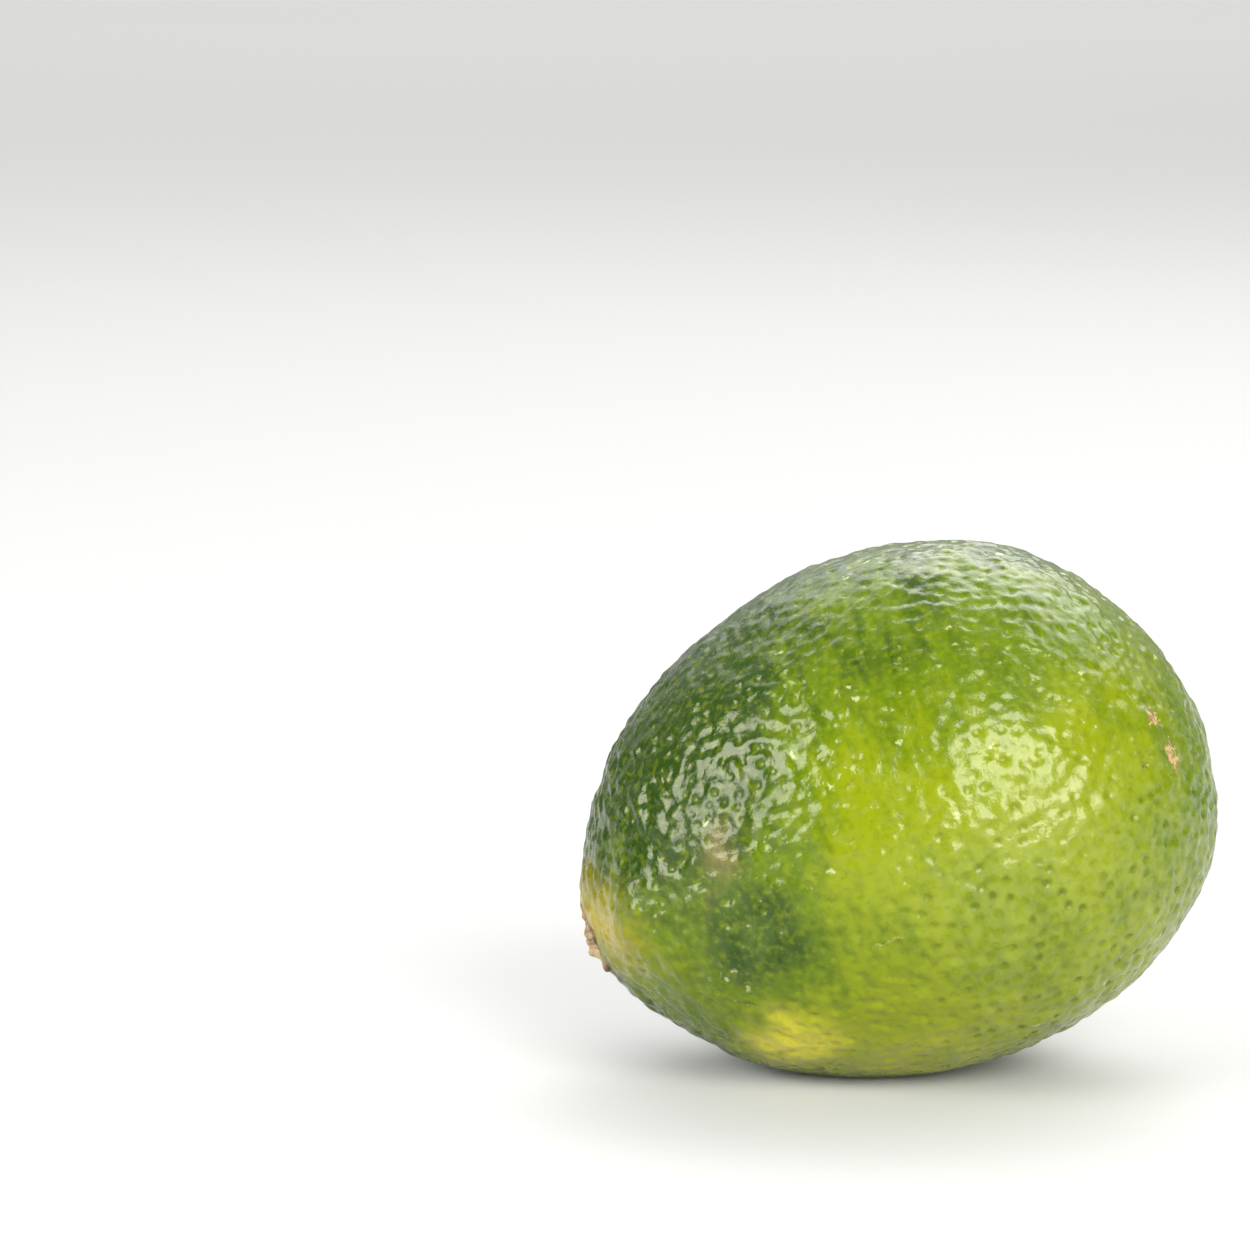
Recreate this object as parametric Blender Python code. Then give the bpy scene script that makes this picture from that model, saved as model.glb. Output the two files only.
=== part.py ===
"""A whole Persian lime, lying on the small spot where its peel is pressed flat.

Two solids: the fruit, and the dry stem button on its narrow end. Both are modelled in the fruit's
own frame, whose +X axis runs from the stem end to the blossom end. An empty, lime_pose, leans that
frame back and sets the middle of the flat spot on the origin. Metres, +Z up.
"""

import math

import bmesh
import bpy
from mathutils import Euler, Vector

# Fruit
FRUIT_LENGTH = 0.0650  # stem end to blossom end, before the seat is cut and the nipple is raised
MIDDLE_RADIUS = 0.0260  # of the round section halfway along
EGG = 0.113  # how much fuller the blossom end is than the middle, as a share of the radius
NECK_PINCH = 0.20  # how much slimmer the peel draws in at the stem, as a share of the radius
NECK_SPREAD = 0.21  # how far along the fruit the pinch reaches, as a share of half the length
GRID = 24  # faces along each edge of the cube that the fruit is rounded from

# Where growth has left the fruit off true
BLOSSOM_SAG = 0.0020  # how far the blossom end hangs below the axis
LOBES = 3  # broad swellings round the waist
LOBE_RISE = 0.00025
LOBE_TURN = math.radians(35)

# Stem end: a flat seat for the button, with folds in the peel that fade along the shoulder
STEM_WAY = Vector((-1, 0, 0))
SEAT_RADIUS = 0.0044
FOLDS = 10
FOLD_RISE = 0.00030
FOLD_REACH = math.radians(40)  # from the stem, where the folds have almost gone

# Blossom end: a low nipple in a shallow ring
NIPPLE_TURN = math.radians(15)  # to the far side (+Y) of the axis
NIPPLE_DROOP = math.radians(4)
NIPPLE_RISE = 0.0010
NIPPLE_SPREAD = math.radians(9)
RING_DEPTH = 0.00030
RING_AT = math.radians(21)
RING_SPREAD = math.radians(7)

# Rest
LEAN = math.radians(21)  # the blossom end is raised by this much
REST_DEPTH = 0.0009  # how far the underside is pressed in

# Stem button: a star of dry lobes round the scar that the stalk broke from
BUTTON_LOBES = 5
BUTTON_RADIUS = 0.0037  # of the disc, halfway between the lobes' tips and the notches
LOBE_REACH = 0.0006  # tips stand this far outside it, notches this far inside
EDGE_THICKNESS = 0.0005
RIM_RADIUS = 0.0019
RIM_HEIGHT = 0.0013
SCAR_RADIUS = 0.0012
SCAR_HEIGHT = 0.0008
BUTTON_SEGMENTS = 60
BUTTON_GAP = 0.0003  # between the button and its seat


def along_nipple():
    """The way that the nipple points, in the fruit's frame."""
    flat = math.cos(NIPPLE_DROOP)
    return Vector((math.cos(NIPPLE_TURN) * flat, math.sin(NIPPLE_TURN) * flat, -math.sin(NIPPLE_DROOP)))


def seat_distance():
    """How far the seat's plane is from the fruit's middle, for its edge to have SEAT_RADIUS."""
    end_radius = MIDDLE_RADIUS * (1 - EGG - NECK_PINCH)
    return FRUIT_LENGTH / 2 * math.sqrt(1 - (SEAT_RADIUS / end_radius) ** 2)


def bell(place, middle, spread):
    """A smooth rise to 1 at middle, almost gone at twice spread away from it."""
    return math.exp(-(((place - middle) / spread) ** 2))


def fruit_point(way):
    """The point of the peel that a unit vector from the fruit's middle maps to."""
    share = way.x
    round_the_axis = math.atan2(way.z, way.y)
    from_stem = way.angle(STEM_WAY)
    from_nipple = way.angle(along_nipple())

    outline = MIDDLE_RADIUS * (1 + EGG * share - NECK_PINCH * bell(share, -1, NECK_SPREAD))
    lobes = LOBE_RISE * math.cos(LOBES * round_the_axis + LOBE_TURN)
    folds = FOLD_RISE * math.cos(FOLDS * round_the_axis) * bell(from_stem, 0, FOLD_REACH / 2)
    radius = outline + lobes + folds
    point = Vector((FRUIT_LENGTH / 2 * share, radius * way.y, radius * way.z))
    point.z -= BLOSSOM_SAG * max(share, 0) ** 4
    rise = NIPPLE_RISE * bell(from_nipple, 0, NIPPLE_SPREAD)
    rise -= RING_DEPTH * bell(from_nipple, RING_AT, RING_SPREAD)
    return point + along_nipple() * rise


def slice_off(mesh, point, outward):
    """Cuts the mesh flat across point, drops what is beyond, and returns the new flat face."""
    geometry = mesh.verts[:] + mesh.edges[:] + mesh.faces[:]
    cut = bmesh.ops.bisect_plane(
        mesh, geom=geometry, dist=1e-7, plane_co=point, plane_no=outward, clear_outer=True
    )
    rim = [item for item in cut["geom_cut"] if isinstance(item, bmesh.types.BMEdge)]
    return bmesh.ops.edgeloop_fill(mesh, edges=rim)["faces"][0]


def make_fruit():
    """Returns the fruit's object, in its own frame, and the middle of its flat resting spot."""
    mesh = bmesh.new()
    bmesh.ops.create_cube(mesh, size=2)
    bmesh.ops.subdivide_edges(mesh, edges=mesh.edges[:], cuts=GRID - 1, use_grid_fill=True)
    for vertex in mesh.verts:
        evened = Vector([math.tan(side * math.pi / 4) for side in vertex.co])
        vertex.co = fruit_point(evened.normalized())

    slice_off(mesh, STEM_WAY * seat_distance(), STEM_WAY)
    down = Vector((0, 0, -1))
    down.rotate(Euler((0, LEAN, 0)))
    lowest = max(mesh.verts, key=lambda vertex: vertex.co.dot(down)).co.copy()
    spot = slice_off(mesh, lowest - down * REST_DEPTH, down)
    middle = spot.calc_center_median_weighted()

    bmesh.ops.recalc_face_normals(mesh, faces=mesh.faces[:])
    fruit = add_object("lime_fruit", mesh)
    fruit.data.materials.append(
        make_material("peel", colour=(0.30, 0.42, 0.01), roughness=0.32)
    )
    fruit.data.shade_smooth()
    fruit.data.set_sharp_from_angle(angle=math.radians(30))
    return fruit, middle


def button_ring(mesh, radius, lobe, height):
    """A loop of edges round the button, waved into lobes by lobe metres."""
    vertices = []
    for step in range(BUTTON_SEGMENTS):
        turn = math.tau * step / BUTTON_SEGMENTS
        reach = radius + lobe * math.cos(BUTTON_LOBES * turn)
        vertices.append(mesh.verts.new((reach * math.cos(turn), reach * math.sin(turn), height)))
    return [
        mesh.edges.new((vertices[step], vertices[(step + 1) % BUTTON_SEGMENTS]))
        for step in range(BUTTON_SEGMENTS)
    ]


def make_button():
    """Returns the button's object. Its underside is on its own origin, and it stands up along +Z."""
    mesh = bmesh.new()
    shoulder_radius = (BUTTON_RADIUS + RIM_RADIUS) / 2
    shoulder_height = (EDGE_THICKNESS + RIM_HEIGHT) / 2
    rings = [
        button_ring(mesh, BUTTON_RADIUS - EDGE_THICKNESS / 2, LOBE_REACH, 0),
        button_ring(mesh, BUTTON_RADIUS, LOBE_REACH, EDGE_THICKNESS / 2),
        button_ring(mesh, BUTTON_RADIUS - EDGE_THICKNESS / 2, LOBE_REACH, EDGE_THICKNESS),
        button_ring(mesh, shoulder_radius, LOBE_REACH / 2, shoulder_height),
        button_ring(mesh, RIM_RADIUS, 0, RIM_HEIGHT),
        button_ring(mesh, SCAR_RADIUS, 0, SCAR_HEIGHT),
    ]
    for below, above in zip(rings, rings[1:]):
        bmesh.ops.bridge_loops(mesh, edges=below + above)
    bmesh.ops.edgeloop_fill(mesh, edges=rings[0])
    bmesh.ops.edgeloop_fill(mesh, edges=rings[-1])
    bmesh.ops.recalc_face_normals(mesh, faces=mesh.faces[:])
    button = add_object("stem_button", mesh)
    button.data.materials.append(
        make_material("dry_calyx", colour=(0.45, 0.30, 0.13), roughness=0.85)
    )
    return button


def add_object(name, mesh):
    data = bpy.data.meshes.new(name)
    mesh.to_mesh(data)
    mesh.free()
    made = bpy.data.objects.new(name, data)
    bpy.context.scene.collection.objects.link(made)
    return made


def make_material(name, colour, roughness):
    material = bpy.data.materials.new(name)
    material.use_nodes = True
    shader = material.node_tree.nodes["Principled BSDF"]
    shader.inputs["Base Color"].default_value = (*colour, 1)
    shader.inputs["Roughness"].default_value = roughness
    shader.inputs["Metallic"].default_value = 0
    return material


def main():
    for old in list(bpy.data.objects):
        bpy.data.objects.remove(old)

    fruit, rest_middle = make_fruit()
    button = make_button()

    pose = bpy.data.objects.new("lime_pose", None)
    bpy.context.scene.collection.objects.link(pose)
    pose.rotation_euler = (0, -LEAN, 0)
    shift = rest_middle.copy()
    shift.rotate(pose.rotation_euler)
    pose.location = -shift

    fruit.parent = pose
    button.parent = pose
    button.rotation_mode = "QUATERNION"
    button.rotation_quaternion = STEM_WAY.to_track_quat("Z", "Y")
    button.location = STEM_WAY * (seat_distance() + BUTTON_GAP)


main()
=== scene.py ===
"""A whole lime: its pitted, waxy peel and its dry stem button, laid out as an add-on."""

import math

import bpy
import numpy as np
from bpy.props import FloatProperty, FloatVectorProperty, IntProperty, PointerProperty
from mathutils import Matrix, Vector, kdtree, noise


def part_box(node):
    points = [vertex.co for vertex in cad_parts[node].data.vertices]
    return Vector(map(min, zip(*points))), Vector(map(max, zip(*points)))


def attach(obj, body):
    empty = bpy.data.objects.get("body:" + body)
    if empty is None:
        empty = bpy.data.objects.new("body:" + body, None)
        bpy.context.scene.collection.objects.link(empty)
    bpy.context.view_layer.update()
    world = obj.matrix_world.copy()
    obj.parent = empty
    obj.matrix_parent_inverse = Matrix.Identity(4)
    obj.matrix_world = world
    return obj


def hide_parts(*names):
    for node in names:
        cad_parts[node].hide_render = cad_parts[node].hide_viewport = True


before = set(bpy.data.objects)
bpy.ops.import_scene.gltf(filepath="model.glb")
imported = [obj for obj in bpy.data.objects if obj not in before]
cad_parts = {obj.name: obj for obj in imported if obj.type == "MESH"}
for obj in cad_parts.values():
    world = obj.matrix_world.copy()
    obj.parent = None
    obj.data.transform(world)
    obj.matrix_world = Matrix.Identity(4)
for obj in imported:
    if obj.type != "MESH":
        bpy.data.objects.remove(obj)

bl_info = {
    "name": "Whole lime",
    "version": (1, 0, 0),
    "blender": (4, 5, 0),
    "location": "3D View > Sidebar > Lime",
    "description": "Builds a lime's peel and its stem button round the packed model",
    "category": "Add Mesh",
}

FRUIT_NODE = "lime_fruit"
BUTTON_NODE = "stem_button"
BODY = "root"
MM = 0.001


# The fruit's own frame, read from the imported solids: +X to the blossom end, +Z up


def box_middle(node):
    low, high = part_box(node)
    return (low + high) / 2


def thin_way(node):
    """The way across a flat node, where its points vary least, pointing away from the fruit."""
    points = np.array([vertex.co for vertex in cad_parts[node].data.vertices])
    way = Vector(np.linalg.svd(points - points.mean(axis=0), full_matrices=False)[2][2])
    return way if way.dot(box_middle(node) - FRUIT_MIDDLE) > 0 else -way


FRUIT_MIDDLE = box_middle(FRUIT_NODE)
BUTTON_MIDDLE = box_middle(BUTTON_NODE)
STEM_WAY = thin_way(BUTTON_NODE)
LEAN = math.asin(-STEM_WAY.z)  # how far the blossom end is raised
OWN_FRAME = Matrix.Translation(FRUIT_MIDDLE) @ Matrix.Rotation(-LEAN, 4, "Y")
HALF_LENGTH = (FRUIT_MIDDLE - BUTTON_MIDDLE).length
HALF_WIDTH = (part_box(FRUIT_NODE)[1].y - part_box(FRUIT_NODE)[0].y) / 2


# Settings


def length_setting(name, description, default):
    return FloatProperty(name=name, description=description, default=default, unit="LENGTH", precision=5)


def power_setting(name, description, default):
    return FloatProperty(name=name, description=description, default=default, unit="POWER", min=0)


def strength_setting(name, description, default):
    return FloatProperty(name=name, description=description, default=default, min=0)


def colour_setting(name, description, default):
    return FloatVectorProperty(
        name=name, description=description, default=default, subtype="COLOR", min=0, max=1
    )


class PeelSettings(bpy.types.PropertyGroup):
    """Sizes and colours of the peel."""

    halvings: IntProperty(
        name="Halvings", description="Of the faces of the cube that the peel starts as", default=7
    )
    swell: length_setting("Swell", "Height of the broad unevenness of the peel", 0.00030)
    swell_size: length_setting("Swell size", "How far apart the broad swellings are", 0.009)
    pebble: length_setting("Pebble height", "Height of the rounded pebbling between the pits", 0.00020)
    pebble_size: length_setting("Pebble size", "How far apart the pebbles are", 0.0023)
    pit_spacing: length_setting("Pit spacing", "Least distance between two oil glands", 0.00125)
    pit_depth: length_setting("Pit depth", "Depth of the deepest pits", 0.00030)
    pit_radius: length_setting("Pit radius", "From a pit's middle to where it has closed", 0.00055)
    shoulder: length_setting("Shoulder", "Height of the bulge on one side of the neck", 0.00200)
    roughness: FloatProperty(
        name="Roughness",
        description="Of the wax on the peel",
        default=0.21,
        subtype="FACTOR",
        min=0,
        max=1,
    )
    yellow_green: colour_setting("Yellow green", "Peel on the ripe side", (0.169, 0.209, 0.002))
    mid_green: colour_setting("Mid green", "Peel between the two sides", (0.082, 0.130, 0.0015))
    # Deep green: the peel's own colour, and above and on the stem half also painted shade
    deep_green: colour_setting("Deep green", "Peel above and near the stem", (0.014, 0.042, 0.001))
    olive: colour_setting("Olive", "Dull patch on the stem half", (0.055, 0.100, 0.010))
    straw: colour_setting("Straw", "Pale patches underneath", (0.520, 0.460, 0.035))
    amber: colour_setting("Amber", "Ring of ripe peel round the button", (0.320, 0.240, 0.0005))
    mauve: colour_setting("Mauve", "Bruised spots on the stem half", (0.200, 0.140, 0.060))
    scar: colour_setting("Scar", "Dry scars near the blossom end", (0.420, 0.290, 0.120))
    # Speck colour: pale specks, partly painted glints, also the paler peel between glands and the scratch
    speck_and_glint: colour_setting("Speck", "Small pale specks and the scratch", (0.440, 0.470, 0.220))


class ButtonSettings(bpy.types.PropertyGroup):
    """Sizes and colours of the stem button."""

    lobes: IntProperty(name="Lobes", description="Dry sepals round the scar", default=5)
    reach: length_setting("Reach", "From the middle to a lobe's tip", 0.0041)
    notch: length_setting("Notch", "From the middle to a notch between two lobes", 0.0030)
    rim: length_setting("Rim", "Height of the thick ring round the scar", 0.00135)
    tan: colour_setting("Tan", "Dry wood of the lobes", (0.330, 0.215, 0.095))
    brown: colour_setting("Brown", "Dark cracks, the scar and the lobes' edges", (0.110, 0.058, 0.034))
    pale: colour_setting("Pale", "Weathered crests", (0.480, 0.370, 0.200))


class StudioSettings(bpy.types.PropertyGroup):
    """Camera, floor and lights."""

    distance: length_setting("Distance", "From the camera to the lime", 0.60)
    elevation: FloatProperty(
        name="Elevation",
        description="Of the camera above the floor",
        default=math.radians(8),
        subtype="ANGLE",
    )
    view_width: length_setting("View width", "Width of the view at the lime", 0.125)
    aside: length_setting("Aside", "How far the lime sits right of the view's middle", 0.02715)
    below: length_setting("Below", "How far the lime sits below the view's middle", 0.0178)
    right_light: power_setting("Right light", "Power of the front right softbox", 11.6)
    right_glow: power_setting("Right glow", "Power of the wide, faint light round it", 4.3)
    left_light: power_setting("Left light", "Power of the front left softbox", 9.6)
    top_light: power_setting("Top light", "Power of the softbox behind and above", 6.6)
    back_light: power_setting("Back light", "Power of the wide light over the far paper", 85.0)
    sky: strength_setting("Sky", "Strength of the even light from behind and above", 0.70)
    dusk: strength_setting("Dusk", "Strength of the even light from the sides and the front", 0.12)
    paper: colour_setting("Paper", "The floor", (0.54, 0.54, 0.53))


# Small helpers


def start_clean():
    if bpy.context.object and bpy.context.object.mode != "OBJECT":
        bpy.ops.object.mode_set(mode="OBJECT")
    bpy.ops.object.select_all(action="DESELECT")


def make_active(piece):
    start_clean()
    piece.select_set(True)
    bpy.context.view_layer.objects.active = piece


def apply_modifier(piece, kind, **settings):
    """Adds one modifier with these settings and applies it."""
    make_active(piece)
    modifier = piece.modifiers.new(kind.title(), kind)
    for name, value in settings.items():
        setattr(modifier, name, value)
    bpy.ops.object.modifier_apply(modifier=modifier.name)


def read_points(mesh):
    points = np.empty(len(mesh.vertices) * 3, np.float32)
    mesh.vertices.foreach_get("co", points)
    return points.reshape(-1, 3).astype(float)


def write_points(mesh, points):
    mesh.vertices.foreach_set("co", points.astype(np.float32).ravel())
    mesh.update()


def read_normals(mesh):
    normals = np.empty(len(mesh.vertices) * 3, np.float32)
    mesh.vertex_normals.foreach_get("vector", normals)
    return normals.reshape(-1, 3).astype(float)


def add_attribute(mesh, name, kind, values):
    attribute = mesh.attributes.new(name, kind, "POINT")
    field = "vector" if kind == "FLOAT_VECTOR" else "value"
    attribute.data.foreach_set(field, values.astype(np.float32).ravel())


def brightened(colour, times):
    return tuple(times * channel for channel in colour)


# Nodes


class NodeTree:
    """Adds nodes to a new material, each with its inputs set or linked."""

    def __init__(self, name):
        self.material = bpy.data.materials.new(name)
        self.material.use_nodes = True
        self.tree = self.material.node_tree
        self.shader = self.tree.nodes["Principled BSDF"]

    def feed(self, node, inputs):
        """Links or sets each of these inputs of a node."""
        for key, value in inputs.items():
            socket = node.inputs[key]
            if isinstance(value, bpy.types.NodeSocket):
                self.tree.links.new(value, socket)
            elif socket.type == "RGBA" and len(value) == 3:
                socket.default_value = (*value, 1)
            else:
                socket.default_value = value

    def add(self, kind, inputs, output=0, **settings):
        node = self.tree.nodes.new("ShaderNode" + kind)
        for name, value in settings.items():
            setattr(node, name, value)
        self.feed(node, inputs)
        return node.outputs[output]

    def plus(self, first, second):
        return self.add("Math", {0: first, 1: second}, operation="ADD")

    def minus(self, first, second):
        return self.add("Math", {0: first, 1: second}, operation="SUBTRACT")

    def times(self, first, second):
        return self.add("Math", {0: first, 1: second}, operation="MULTIPLY")

    def length(self, vector):
        return self.add("VectorMath", {0: vector}, output="Value", operation="LENGTH")

    def ease(self, value, low, high, out_low=0.0, out_high=1.0):
        """value from low to high as a smooth step from out_low to out_high."""
        inputs = {
            "Value": value,
            "From Min": low,
            "From Max": high,
            "To Min": out_low,
            "To Max": out_high,
        }
        return self.add("MapRange", inputs, interpolation_type="SMOOTHSTEP")

    def mix(self, share, low, high):
        inputs = {0: share, 6: low, 7: high}
        return self.add("Mix", inputs, output=2, data_type="RGBA", clamp_factor=True)

    def noise(self, where, size, detail=2.0, warp=0.0):
        inputs = {"Vector": where, "Scale": 1 / size, "Detail": detail, "Distortion": warp}
        return self.add("TexNoise", inputs)

    def streaks(self, where, across, detail, warp):
        """Noise in lumps that are across in size along each axis."""
        stretched = self.add("Mapping", {"Vector": where, "Scale": [1 / size for size in across]})
        return self.noise(stretched, 1.0, detail, warp)

    def cells(self, where, size, output="Distance"):
        return self.add("TexVoronoi", {"Vector": where, "Scale": 1 / size}, output=output)

    def near(self, where, middle, reach, softness):
        """1 at middle, falling to 0 at reach, an ellipsoid's three half sizes."""
        place = {"Vector": where, "Location": middle, "Scale": reach}
        scaled = self.add("Mapping", place, vector_type="TEXTURE")
        return self.ease(self.length(scaled), 1, 1 - softness)

    def push(self, where, scale):
        """A noise vector about as often one way as the other, for moving a pattern about."""
        colour = self.add("TexNoise", {"Vector": where, "Scale": scale, "Detail": 3.0}, output="Color")
        return self.add("VectorMath", {0: colour, 1: (0.5, 0.5, 0.5)}, operation="SUBTRACT")

    def moved(self, where, push, amount):
        inputs = {0: push, 1: (amount, amount, amount), 2: where}
        return self.add("VectorMath", inputs, operation="MULTIPLY_ADD")

    def attribute(self, name, output="Fac"):
        return self.add("Attribute", {}, output=output, attribute_name=name)

    def own_frame(self):
        """Object coordinates in the fruit's own frame, in millimetres."""
        place = {
            "Vector": self.add("TexCoord", {}, output="Object"),
            "Location": FRUIT_MIDDLE,
            "Rotation": OWN_FRAME.to_euler(),
            "Scale": (MM, MM, MM),
        }
        return self.add("Mapping", place, vector_type="TEXTURE")

    def bump(self, height):
        """A normal bent by a height in millimetres."""
        return self.add("Bump", {"Height": height, "Distance": MM, "Strength": 1.0})


# Peel: its shape

MAP_MARGIN = 0.006  # share of a tile of the map that is left free along each edge
SMOOTHING = 14  # passes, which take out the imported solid's facets
PLACES_SEED = 7
DEPTHS_SEED = 11
SHALLOWEST = 0.2  # depth of the faintest pits, as a share of the deepest
NECK_START = 0.45  # where the peel begins to grow lumpier, as a share of the way to the button
NECK_SPAN = 0.35  # and over what share of that way it does
SHOULDER = (-28.3 * MM, -12.8 * MM, 0.3 * MM)  # where the neck bulges, in the fruit's own frame
SHOULDER_REACH = 5.0 * MM
PRESSED_HEIGHT = 2 * MM  # below this the relief fades out, to nothing at the floor


def even_ball(peel):
    """Turns a finely divided cube into a ball whose faces are nearly all one size."""
    points = np.tan(read_points(peel.data) * math.pi / 4)
    write_points(peel.data, points / np.linalg.norm(points, axis=1)[:, None])


def lay_out_cube(mesh):
    """Gives each side of the cube its own third by half of the map, before it is rounded."""
    corners = np.empty(len(mesh.loops), np.int32)
    mesh.loops.foreach_get("vertex_index", corners)
    points = read_points(mesh)[corners]
    normals = np.repeat(np.array([face.normal for face in mesh.polygons]), 4, axis=0)
    side = np.abs(normals).argmax(axis=1)
    facing = np.take_along_axis(normals, side[:, None], axis=1)[:, 0] > 0
    rows = np.arange(len(points))
    across = points[rows, (side + 1) % 3] * np.where(facing, 1, -1)
    up = points[rows, (side + 2) % 3]
    tile = np.stack([side / 3, np.where(facing, 0.5, 0.0)], axis=1)
    within = np.stack([across + 1, up + 1], axis=1) / 2 * (1 - 2 * MAP_MARGIN) + MAP_MARGIN
    flat = tile + within * np.array([1 / 3, 0.5])
    mesh.uv_layers.new(name="OFBake")
    mesh.uv_layers["OFBake"].data.foreach_set("uv", flat.astype(np.float32).ravel())


def smooth_guide():
    """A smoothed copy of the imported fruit, for the peel to settle on."""
    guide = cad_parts[FRUIT_NODE].copy()
    guide.data = guide.data.copy()
    guide.name = "peel_guide"
    bpy.context.collection.objects.link(guide)
    make_active(guide)
    bpy.ops.object.mode_set(mode="EDIT")
    bpy.ops.mesh.select_all(action="SELECT")
    bpy.ops.mesh.remove_doubles(threshold=1e-6)
    bpy.ops.mesh.tris_convert_to_quads()
    bpy.ops.object.mode_set(mode="OBJECT")
    apply_modifier(guide, "SUBSURF", levels=2, render_levels=2)
    return guide


def scatter_pits(points, spacing):
    """Vertices at least spacing apart, as evenly strewn as oil glands are."""
    tree = kdtree.KDTree(len(points))
    for index, point in enumerate(points):
        tree.insert(point, index)
    tree.balance()
    covered = np.zeros(len(points), bool)
    chosen = []
    for index in np.random.default_rng(PLACES_SEED).permutation(len(points)):
        if not covered[index]:
            chosen.append(index)
            covered[[found[1] for found in tree.find_range(points[index], spacing)]] = True
    return np.array(chosen)


def pit_offsets(points, chosen, depths):
    """For each vertex, the way to it from its nearest pit, and that pit's depth."""
    tree = kdtree.KDTree(len(chosen))
    for index, vertex in enumerate(chosen):
        tree.insert(points[vertex], index)
    tree.balance()
    nearest = np.array([tree.find(point)[1] for point in points])
    return points - points[chosen][nearest], depths[nearest]


def relief(points, size, seed):
    """Smooth noise from -1 to 1 at each point, in lumps about size across."""
    place = Vector((seed, seed / 3, -seed))
    return np.array([noise.noise(Vector(point) / size + place) for point in points])


def rounded_lump(away, reach):
    """1 where away is nothing, falling off smoothly over about reach."""
    return np.exp(-((away / reach) ** 2))


def pit_peel(peel, sizes):
    """Raises the pebbling, presses the pits in, and keeps each pit's place for the material."""
    points = read_points(peel.data)
    normals = read_normals(peel.data)
    chosen = scatter_pits(points, sizes.pit_spacing)
    shares = np.random.default_rng(DEPTHS_SEED).random(len(chosen)) ** 2
    depths = SHALLOWEST + (1 - SHALLOWEST) * shares
    offsets, depth = pit_offsets(points, chosen, depths)
    away = np.linalg.norm(offsets, axis=1)

    along = (points - np.array(FRUIT_MIDDLE)) @ np.array(STEM_WAY)
    neck = np.clip((along / HALF_LENGTH - NECK_START) / NECK_SPAN, 0, 1)
    swells = relief(points, sizes.swell_size, 3)
    swells = swells + 0.35 * relief(points, sizes.swell_size / 2, 7)
    pebbles = 1.6 * np.abs(relief(points, sizes.pebble_size, 5))
    pebbles = pebbles + 0.6 * relief(points, sizes.pebble_size / 2, 9)
    shoulder = np.linalg.norm(points - np.array(OWN_FRAME @ Vector(SHOULDER)), axis=1)
    height = sizes.swell * (1 + 0.6 * neck) * swells
    height += sizes.pebble * (1 + 0.4 * neck) * pebbles
    height -= sizes.pit_depth * depth * rounded_lump(away, 0.6 * sizes.pit_radius)
    height += sizes.shoulder * rounded_lump(shoulder, SHOULDER_REACH)
    height *= np.clip(points[:, 2] / PRESSED_HEIGHT, 0, 1)
    points += normals * height[:, None]
    points[:, 2] = np.maximum(points[:, 2], 0)
    write_points(peel.data, points)

    add_attribute(peel.data, "from_pit", "FLOAT_VECTOR", offsets / MM)
    add_attribute(peel.data, "pit_distance", "FLOAT", away / MM)
    add_attribute(peel.data, "pit_strength", "FLOAT", depth)


# Peel: its look. Places and sizes are in millimetres, in the fruit's own frame

# Middle, half sizes, softness and change: riper patches below 0, greener ones above
GREEN_PATCHES = (
    ((-8, -17, -20), (15, 16, 9), 0.7, -1.0),
    ((-27, -13, -6), (10, 13, 12), 0.8, -1.0),
    ((-17, -17.5, -13), (9, 13, 6.5), 0.7, -1.0),
    ((2, -22, -6), (15, 14, 8), 0.8, 0.42),
    ((-15.5, -20, -3), (8, 12, 6), 0.8, 0.55),
)

# Colour, middle, half sizes, softness, strength and the blotches' limits
TINTED_PATCHES = (
    ("olive", (-17.5, -19.5, -1.5), (6, 12, 8), 0.8, 0.75, (0.3, 0.6)),
    ("straw", (-7, -13, -22), (17, 14, 8), 1.0, 0.28, (0.2, 0.6)),
    ("straw", (-17.9, -16.5, -16), (9, 13, 6.5), 1.0, 0.95, (0.1, 0.5)),
    ("amber", (-32, -8, 0.5), (9, 12, 7), 0.9, 0.95, (0.0, 0.45)),
    ("amber", (-32, 1, 1), (6, 9, 7), 0.7, 0.7, (0.0, 0.45)),
    ("mauve", (-16.9, -20.5, 5.0), (3.6, 5.0, 4.6), 1.0, 0.65, (0.30, 0.65)),
    ("mauve", (-20.5, -18.5, 1.5), (3.4, 5.0, 3.0), 1.0, 0.6, (0.35, 0.65)),
)

# Middle and half sizes of the crusted scars near the blossom end
SCARS = (
    ((26.4, -14.5, 1.5), (0.6, 1.4, 1.3)),
    ((27.0, -14.0, -2.7), (0.7, 1.4, 1.8)),
)
NIPPLE_SCAR = ((32, 8.4, -2.3), (3.0, 1.7, 1.7))
SCRATCH = ((-4.5, -23.5, -8.0), (3.2, 3.0, 0.16))
CLUTCH_OF_FLECKS = ((-21, -17.5, -8), (3.2, 5.0, 3.6))


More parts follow.
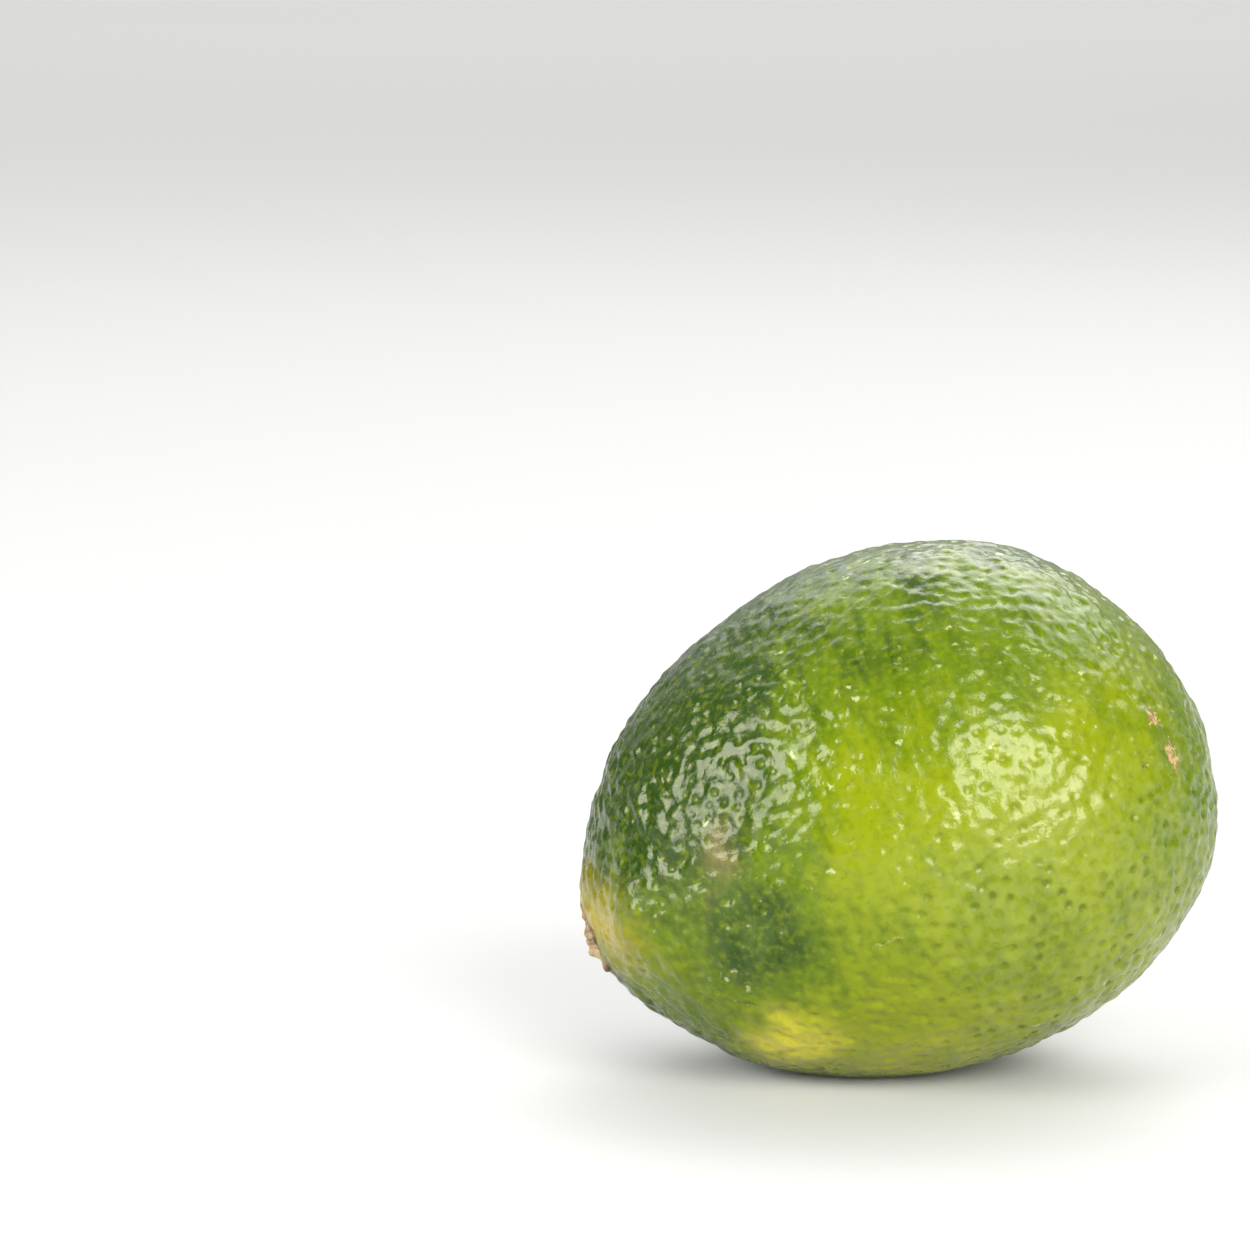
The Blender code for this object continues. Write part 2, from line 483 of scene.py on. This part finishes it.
class PeelMaterial(NodeTree):
    """Greens from ripe to deep, the deep green above partly painted shade, tinted patches, oil glands,
    specks partly painted glints, scars, wax and fine relief.
    """

    def __init__(self, sizes):
        super().__init__("waxy_peel")
        self.sizes = sizes
        self.where = self.own_frame()
        self.along, self.up = (self.add("SeparateXYZ", {0: self.where}, output=axis) for axis in "XZ")
        self.blotch = self.noise(self.where, 5, detail=3.0)
        self.grain = self.noise(self.where, 0.7, detail=3.0)
        self.find_pits()
        colour = self.add_glands(self.tint(self.greens()))
        colour = self.add_scars(self.add_specks_and_glints(colour))
        self.feed(self.shader, {"Base Color": colour})
        self.add_wax()
        self.add_fine_relief()

    def find_pits(self):
        """How far the nearest oil gland is, how strong it is, and how deep in its pit this is."""
        direct = self.length(self.attribute("from_pit", output="Vector"))
        kept = self.minus(self.attribute("pit_distance"), 0.12)  # holds where the nearest pit changes
        self.distance = self.add("Math", {0: direct, 1: kept}, operation="MAXIMUM")
        self.strength = self.attribute("pit_strength")
        closed = self.sizes.pit_radius / MM
        self.pit = self.times(self.ease(self.distance, closed, 0.05), self.strength)

    def greens(self):
        """From 0, ripe, through 1, mid, to 2, deep: greener above and towards the stem, partly the peel's
        own colour and partly painted shade.
        """
        streaks = self.streaks(self.where, (5, 14, 14), detail=3.0, warp=0.4)
        fine_streaks = self.streaks(self.where, (1.5, 6, 6), detail=2.0, warp=0.3)
        wavy = self.plus(self.along, self.ease(self.blotch, 0.3, 0.7, -3.0, 3.0))
        wavy = self.plus(wavy, self.ease(self.up, 8, -10, 0.0, 4.0))
        # The stem half and the rise above darken the peel: partly its own deep green, partly painted
        # shade
        stem_half_and_shade = self.times(self.ease(wavy, -1, -16), self.ease(self.up, -17, -7, 0.6, 1.0))
        slopes_and_painted_shade = [
            self.ease(self.up, 0, 27, 0.0, 1.75),
            self.times(stem_half_and_shade, 1.6),
            self.ease(self.along, 20, 32, 0.0, 0.7),
            self.ease(self.up, -2, -12, 0.0, 0.4),
        ]
        patches = [self.times(self.near(self.where, *place), change) for *place, change in GREEN_PATCHES]
        mottle = [
            self.ease(self.noise(self.where, 24), 0.3, 0.7, -0.15, 0.15),
            self.ease(streaks, 0.3, 0.7, -0.20, 0.20),
            self.ease(fine_streaks, 0.3, 0.7, -0.22, 0.22),
            self.ease(self.blotch, 0.3, 0.7, -0.15, 0.15),
        ]
        greenness, *others = slopes_and_painted_shade + patches + mottle
        for term in others:
            greenness = self.plus(greenness, term)
        light = self.mix(self.ease(greenness, 0.0, 1.0), self.sizes.yellow_green, self.sizes.mid_green)
        return self.mix(self.ease(greenness, 1.0, 2.0), light, self.sizes.deep_green)

    def tint(self, colour):
        """Olive on the stem half, straw underneath, amber round the button, and two bruises."""
        wavering = self.moved(self.where, self.push(self.where, 0.22), 9)
        for tint, middle, reach, softness, strength, limits in TINTED_PATCHES:
            blotched = self.ease(self.blotch, *limits, 0.0, strength)
            patch = self.times(self.near(wavering, middle, reach, softness), blotched)
            colour = self.mix(patch, colour, getattr(self.sizes, tint))
        return colour

    def add_glands(self, colour):
        """Lighter dots on the green, and on the ripe side a few dark ones with paler peel between."""
        sizes = self.sizes
        ripe_side = self.times(self.ease(self.up, 4, -6), self.ease(self.along, -8, 6))
        green_side = self.minus(1.0, ripe_side)
        dot = self.ease(self.distance, 0.60, 0.10)
        dark = self.times(self.times(dot, ripe_side), self.ease(self.strength, 0.45, 0.9, 0.0, 0.7))
        between = self.times(self.ease(self.distance, 0.35, 0.75), self.times(ripe_side, 0.08))
        lit = self.times(self.times(dot, green_side), self.ease(self.strength, 0.3, 0.9, 0.04, 0.20))
        light_grain = self.ease(self.grain, 0.45, 0.75, 0.0, 0.35)
        dark_grain = self.ease(self.grain, 0.52, 0.25, 0.0, 0.22)
        colour = self.mix(dark, colour, brightened(sizes.mid_green, 0.6))
        colour = self.mix(between, colour, sizes.speck_and_glint)
        colour = self.mix(lit, colour, brightened(sizes.yellow_green, 1.25))
        colour = self.mix(light_grain, colour, brightened(sizes.yellow_green, 1.1))
        return self.mix(dark_grain, colour, sizes.deep_green)

    def add_specks_and_glints(self, colour):
        """Strewn pale specks, more of them above, partly painted glints of light on bumps, and a clutch
        of finer ones on the stem half.
        """
        self.shift = self.push(self.where, 1.6)
        self.ragged = self.moved(self.where, self.shift, 1.6)
        chance = self.add("SeparateColor", {0: self.cells(self.ragged, 2.6, output="Color")})
        # More specks above, where the lights catch: these are partly painted glints
        likely = self.ease(self.up, -6, 10, 0.03, 0.30)
        chosen = self.add("Math", {0: chance, 1: likely}, operation="LESS_THAN")
        glint_specks = self.times(self.ease(self.cells(self.ragged, 2.6), 0.17, 0.06), chosen)
        colour = self.mix(self.times(glint_specks, 0.7), colour, self.sizes.speck_and_glint)
        clutch = self.near(self.where, *CLUTCH_OF_FLECKS, 0.8)
        flecks = self.times(self.ease(self.cells(self.ragged, 1.2), 0.34, 0.12), clutch)
        return self.mix(self.times(flecks, 0.7), colour, self.sizes.speck_and_glint)

    def add_scars(self, colour):
        """Crusted scars near the blossom end, the scar on the nipple, and one thin scratch."""
        torn = self.moved(self.where, self.shift, 3.4)
        crust = self.mix(self.ease(self.grain, 0.60, 0.40), self.sizes.scar, self.sizes.mauve)
        for middle, reach in SCARS:
            colour = self.mix(self.near(torn, middle, reach, 0.35), colour, crust)
        colour = self.mix(self.near(torn, *NIPPLE_SCAR, 0.6), colour, self.sizes.mauve)
        scratch = self.near(self.ragged, *SCRATCH, 0.9)
        return self.mix(self.times(scratch, 0.5), colour, self.sizes.speck_and_glint)

    def add_wax(self):
        """Rubbed dull in places, and a little duller in the pits."""
        low = self.sizes.roughness - 0.05
        high = self.sizes.roughness + 0.08
        rubbed = self.ease(self.noise(self.where, 4, detail=4.0), 0.3, 0.8, low, high)
        wax = {
            "Roughness": self.plus(rubbed, self.times(self.pit, 0.12)),
            "Specular IOR Level": 0.42,
            "Specular Tint": (1.0, 0.97, 0.78, 1.0),
            "Subsurface Weight": 0.08,
            "Subsurface Radius": (1.0, 1.0, 0.3),
            "Subsurface Scale": 1.2 * MM,
        }
        self.feed(self.shader, wax)

    def add_fine_relief(self):
        """Relief finer than the mesh holds, in millimetres."""
        fine = self.times(self.noise(self.where, 0.6), 0.055)
        finest = self.times(self.noise(self.where, 0.2, detail=1.0), 0.015)
        height = self.plus(self.plus(self.times(self.pit, -0.05), fine), finest)
        self.feed(self.shader, {"Normal": self.bump(height)})


class LIME_OT_peel(bpy.types.Operator):
    """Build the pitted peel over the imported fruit"""

    bl_idname = "lime.peel"
    bl_label = "Peel"

    def execute(self, context):
        sizes = context.scene.lime_peel
        start_clean()
        bpy.ops.mesh.primitive_cube_add(size=2)
        peel = context.object
        peel.name = "peel"
        bpy.ops.object.mode_set(mode="EDIT")
        bpy.ops.mesh.select_all(action="SELECT")
        for _ in range(sizes.halvings):
            bpy.ops.mesh.subdivide()
        bpy.ops.object.mode_set(mode="OBJECT")
        while peel.data.uv_layers:
            peel.data.uv_layers.remove(peel.data.uv_layers[0])
        lay_out_cube(peel.data)
        even_ball(peel)

        peel.data.transform(OWN_FRAME @ Matrix.Diagonal((HALF_LENGTH, HALF_WIDTH, HALF_WIDTH, 1)))
        guide = smooth_guide()
        apply_modifier(peel, "SHRINKWRAP", target=guide, wrap_method="TARGET_PROJECT")
        bpy.data.objects.remove(guide)
        apply_modifier(peel, "SMOOTH", factor=0.5, iterations=SMOOTHING)
        bpy.ops.object.shade_smooth()
        pit_peel(peel, sizes)
        peel.data.materials.append(PeelMaterial(sizes).material)
        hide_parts(FRUIT_NODE)
        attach(peel, BODY)
        return {"FINISHED"}


# Stem button

RINGS = 14  # of faces, from the star's edge to its middle
SPOKES = 90
SUNK = 0.25 * MM  # how far the underside is let into the peel


def lobe_share(turn, sizes):
    """1 along the middle of a lobe, 0 in the notch between two."""
    return 0.5 + 0.5 * math.cos(sizes.lobes * turn - 0.6)


def star_reach(turn, sizes):
    """How far the dry star reaches at this turn, each lobe a little different."""
    uneven = 1 + 0.09 * math.cos(turn + 1.1) + 0.04 * math.sin(3 * turn)
    return (sizes.notch + (sizes.reach - sizes.notch) * lobe_share(turn, sizes) ** 1.3) * uneven


def star_height(share, turn, sizes):
    """Height of the top over the peel, for share from 0 in the middle to 1 at the edge."""
    uneven = 0.85 - 0.25 * math.sin(turn + 0.2) + 0.08 * math.sin(4 * turn)  # thickest on its lower side
    crest = math.exp(-(((share - 0.46) / 0.13) ** 2))
    sepal = 0.30 + 0.16 * lobe_share(turn, sizes) * math.sin(math.pi * share)
    curl = 0.12 * lobe_share(turn, sizes) * share**6
    stub = 0.22 * math.exp(-((share / 0.10) ** 2))
    hollow = 0.10 * math.exp(-((share / 0.25) ** 4))
    return sizes.rim * uneven * (sepal * (1 - 0.5 * share**2) + curl + stub - hollow + 0.62 * crest)


def shape_star(button, sizes):
    """Turns the flat disc, draped on the peel, into a lobed star with a thick rim round a scar."""
    count = len(button.data.vertices) // 2  # the top's come first, then the underside's
    shares = np.zeros(2 * count)
    spokes = np.zeros((2 * count, 3))
    for index, vertex in enumerate(button.data.vertices):
        turn = math.atan2(vertex.co.y, vertex.co.x)
        share = min(1, Vector((vertex.co.x, vertex.co.y)).length / star_reach(turn, sizes))
        shares[index] = share
        spokes[index] = (4 * math.cos(turn), 4 * math.sin(turn), 1.3 * share)
        crumple = noise.fractal(vertex.co / (0.8 * MM), 1.0, 2.0, 3)
        furrow = noise.noise(Vector(spokes[index]) * 2.2)
        if index < count:
            vertex.co.z += star_height(share, turn, sizes) + (0.10 * crumple + 0.14 * share * furrow) * MM
        else:
            vertex.co.z -= SUNK
    add_attribute(button.data, "from_middle", "FLOAT", shares)
    add_attribute(button.data, "along_spoke", "FLOAT_VECTOR", spokes)


def button_material(sizes):
    """Dry wood: fibres out from the middle, weathered blotches, a dark scar and darker edges."""
    made = NodeTree("dry_wood")
    where = made.own_frame()
    share = made.attribute("from_middle")
    fibre = made.noise(made.attribute("along_spoke", output="Vector"), 0.5, detail=4.0)
    blotch = made.noise(where, 1.1, detail=4.0)
    speckle = made.noise(where, 0.35)
    colour = made.mix(made.ease(blotch, 0.35, 0.65), sizes.tan, sizes.pale)
    darker = (
        made.ease(fibre, 0.55, 0.35, 0.0, 0.7),
        made.ease(speckle, 0.45, 0.30, 0.0, 0.5),
        made.ease(share, 0.38, 0.26, 0.0, 0.75),
        made.ease(share, 0.88, 1.0, 0.0, 0.6),
    )
    for amount in darker:
        colour = made.mix(amount, colour, sizes.brown)
    height = made.plus(made.times(fibre, 0.22), made.times(speckle, 0.08))
    made.feed(made.shader, {"Base Color": colour, "Roughness": 0.75, "Normal": made.bump(height)})
    return made.material


class LIME_OT_button(bpy.types.Operator):
    """Build the dry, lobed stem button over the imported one"""

    bl_idname = "lime.button"
    bl_label = "Stem button"

    def execute(self, context):
        sizes = context.scene.lime_button
        start_clean()
        bpy.ops.mesh.primitive_circle_add(vertices=SPOKES, radius=1, fill_type="NGON")
        button = context.object
        button.name = "dry_button"
        bpy.ops.object.mode_set(mode="EDIT")
        bpy.ops.mesh.select_all(action="SELECT")
        for _ in range(RINGS):
            bpy.ops.mesh.inset(thickness=0.97 / RINGS)
        bpy.ops.mesh.poke()
        bpy.ops.object.mode_set(mode="OBJECT")
        for vertex in button.data.vertices:
            vertex.co *= star_reach(math.atan2(vertex.co.y, vertex.co.x), sizes)

        above = BUTTON_MIDDLE + STEM_WAY * 3 * MM  # clear of the peel, to be draped on it
        facing = STEM_WAY.to_track_quat("Z", "Y").to_matrix().to_4x4()
        button.matrix_world = Matrix.Translation(above) @ facing
        apply_modifier(
            button,
            "SHRINKWRAP",
            target=bpy.data.objects["peel"],
            wrap_method="PROJECT",
            use_project_z=True,
            use_positive_direction=False,
            use_negative_direction=True,
        )
        apply_modifier(button, "SOLIDIFY", thickness=0.1 * MM, offset=-1)
        shape_star(button, sizes)
        apply_modifier(button, "SUBSURF", levels=1, render_levels=1)
        bpy.ops.object.transform_apply(location=True, rotation=True, scale=True)
        bpy.ops.object.shade_smooth()
        button.data.materials.append(button_material(sizes))
        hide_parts(BUTTON_NODE)
        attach(button, BODY)
        return {"FINISHED"}


# Stage

# The ways from the fruit's middle to the lights
RIGHT_WAY = (0.452, -0.801, 0.393)
LEFT_WAY = (-0.860, -0.380, 0.350)
TOP_WAY = (0.42, 0.52, 0.74)
BACK_WAY = (0, 0.806, 0.591)
SKY_WAY = (0, 0.6, 0.8)  # to the brightest of the even light


def add_softbox(name, way, distance, size, power, shape="DISK", height=None):
    """An area light that far from the fruit's middle, facing it."""
    way = Vector(way).normalized()
    bpy.ops.object.light_add(type="AREA", location=FRUIT_MIDDLE + way * distance)
    light = bpy.context.object
    light.name = name
    light.rotation_euler = way.to_track_quat("Z", "Y").to_euler()
    light.data.shape = shape
    light.data.size = size
    light.data.size_y = height or size
    light.data.energy = power
    return light


def add_lights(sizes):
    add_softbox("right_softbox", RIGHT_WAY, 0.90, 0.68, sizes.right_light)
    add_softbox("right_glow", RIGHT_WAY, 0.92, 1.25, sizes.right_glow)
    add_softbox("left_softbox", LEFT_WAY, 0.9, 0.62, sizes.left_light)
    add_softbox("top_softbox", TOP_WAY, 1.0, 1.3, sizes.top_light, "RECTANGLE", 0.65)
    back = add_softbox("back_softbox", BACK_WAY, 3.7, 4.0, sizes.back_light, "SQUARE")
    back.rotation_euler = (0, 0, 0)  # straight down, so it lights the paper and not the lime


def add_paper(sizes):
    """A wide round sheet, faintly mottled, for the lime to lie on."""
    bpy.ops.mesh.primitive_circle_add(vertices=96, radius=8, fill_type="NGON")
    paper = bpy.context.object
    paper.name = "paper"
    made = NodeTree("pale_paper")
    mottle = made.noise(made.add("TexCoord", {}, output="Object"), 0.4)
    tint = made.mix(mottle, sizes.paper, brightened(sizes.paper, 0.98))
    made.feed(made.shader, {"Base Color": tint, "Roughness": 0.7})
    paper.data.materials.append(made.material)


def make_world(sizes):
    """Even light that is strong above and behind the lime and faint round its other sides."""
    world = bpy.data.worlds.new("even_light")
    world.use_nodes = True
    tree = world.node_tree
    way = tree.nodes.new("ShaderNodeTexCoord")
    facing = tree.nodes.new("ShaderNodeVectorMath")
    facing.operation = "DOT_PRODUCT"
    facing.inputs[1].default_value = SKY_WAY
    fade = tree.nodes.new("ShaderNodeMapRange")
    fade.interpolation_type = "SMOOTHSTEP"
    limits = {"From Min": 0.25, "From Max": 0.9, "To Min": sizes.dusk, "To Max": sizes.sky}
    for name, value in limits.items():
        fade.inputs[name].default_value = value
    tree.links.new(way.outputs["Generated"], facing.inputs[0])
    tree.links.new(facing.outputs["Value"], fade.inputs["Value"])
    tree.links.new(fade.outputs[0], tree.nodes["Background"].inputs["Strength"])
    tree.nodes["Background"].inputs["Color"].default_value = (1, 1, 1, 1)
    return world


def add_camera(sizes):
    """A camera in front, on -Y, with the lime to the right of and below the view's middle."""
    rise = sizes.elevation
    ahead = Vector((0, math.cos(rise), -math.sin(rise)))
    up = Vector((0, math.sin(rise), math.cos(rise)))
    aim = FRUIT_MIDDLE - Vector((1, 0, 0)) * sizes.aside + up * sizes.below
    bpy.ops.object.camera_add(location=aim - ahead * sizes.distance)
    camera = bpy.context.object
    camera.rotation_euler = (-ahead).to_track_quat("Z", "Y").to_euler()
    camera.data.lens = sizes.distance * camera.data.sensor_width / sizes.view_width
    camera.data.clip_start = 0.01
    bpy.context.scene.camera = camera


class LIME_OT_stage(bpy.types.Operator):
    """Set up the pale paper, the soft lights and the camera"""

    bl_idname = "lime.stage"
    bl_label = "Stage"

    def execute(self, context):
        sizes = context.scene.lime_studio
        start_clean()
        add_paper(sizes)
        add_lights(sizes)
        context.scene.world = make_world(sizes)
        context.scene.view_settings.view_transform = "Standard"
        add_camera(sizes)
        return {"FINISHED"}


# Add-on


class LIME_PT_panel(bpy.types.Panel):
    """Lists the lime's pieces and its stage"""

    bl_idname = "LIME_PT_panel"
    bl_label = "Lime"
    bl_space_type = "VIEW_3D"
    bl_region_type = "UI"
    bl_category = "Lime"

    def draw(self, context):
        for operator in (LIME_OT_peel, LIME_OT_button, LIME_OT_stage):
            self.layout.operator(operator.bl_idname)


CLASSES = (
    PeelSettings,
    ButtonSettings,
    StudioSettings,
    LIME_OT_peel,
    LIME_OT_button,
    LIME_OT_stage,
    LIME_PT_panel,
)


def register():
    for kind in CLASSES:
        bpy.utils.register_class(kind)
    bpy.types.Scene.lime_peel = PointerProperty(type=PeelSettings)
    bpy.types.Scene.lime_button = PointerProperty(type=ButtonSettings)
    bpy.types.Scene.lime_studio = PointerProperty(type=StudioSettings)


def unregister():
    del bpy.types.Scene.lime_studio
    del bpy.types.Scene.lime_button
    del bpy.types.Scene.lime_peel
    for kind in reversed(CLASSES):
        bpy.utils.unregister_class(kind)


def main():
    register()
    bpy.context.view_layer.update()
    bpy.ops.lime.peel()
    bpy.ops.lime.button()
    bpy.ops.lime.stage()
    bpy.context.view_layer.update()


if __name__ == "__main__":
    main()
